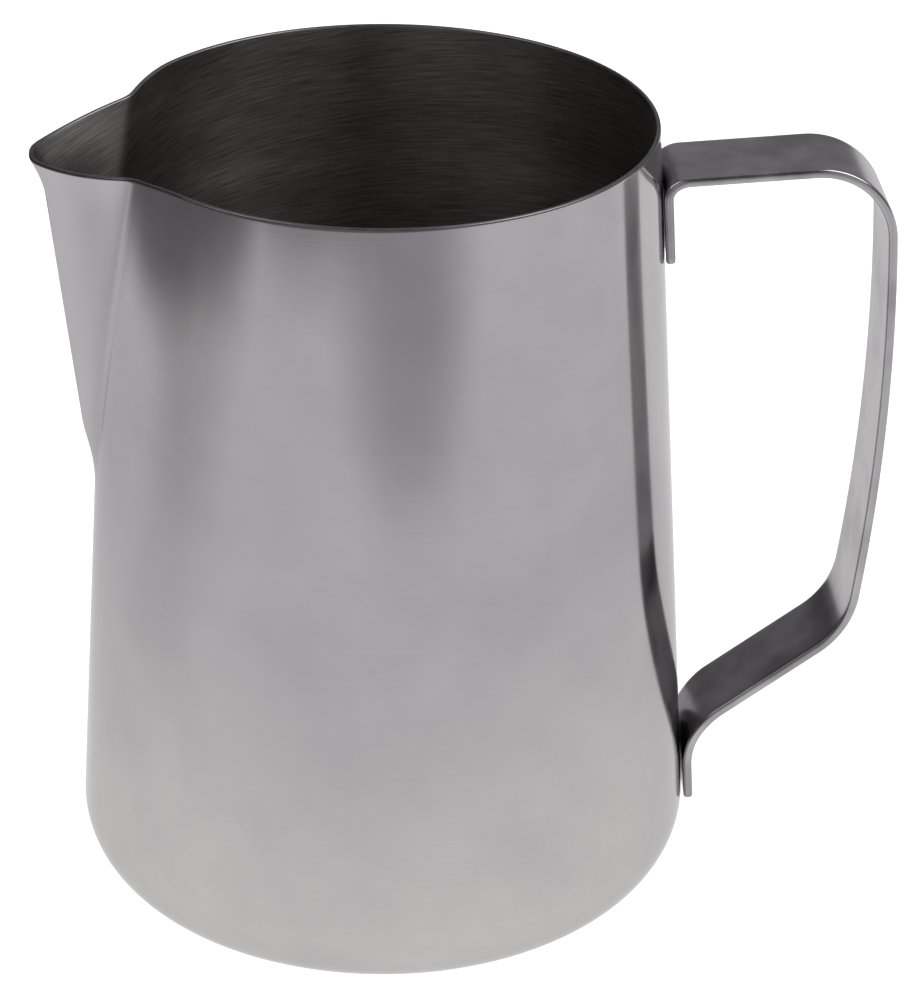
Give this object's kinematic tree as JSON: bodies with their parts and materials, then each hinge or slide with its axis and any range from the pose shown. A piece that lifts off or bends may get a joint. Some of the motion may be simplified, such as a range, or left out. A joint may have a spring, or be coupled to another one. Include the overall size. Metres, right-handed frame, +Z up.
{
  "type": "milk frothing pitcher",
  "caption": "Open tapered steel jug with a pressed V spout, a round-cornered flat base and a bent flat-bar handle spot-welded to its wall.",
  "frame": {"origin": "centre of the flat base, on the jug's axis, at the surface it stands on", "axes": "+Z up along the jug's axis, +X to the handle and -X to the spout, +Y across; symmetric about the XZ plane"},
  "size_m": [0.1636, 0.1192, 0.1595],
  "materials": {
    "body_steel": "mirror-polished outside, brushed around the inside",
    "strap_steel": "polished, slightly satin",
    "weld_steel": "dull fused metal"
  },
  "bodies": {
    "root": {"pitcher_body": "body_steel", "handle_strap": "strap_steel", "upper_weld_left": "weld_steel", "upper_weld_right": "weld_steel", "lower_weld_left": "weld_steel", "lower_weld_right": "weld_steel"}
  },
  "joints": []
}
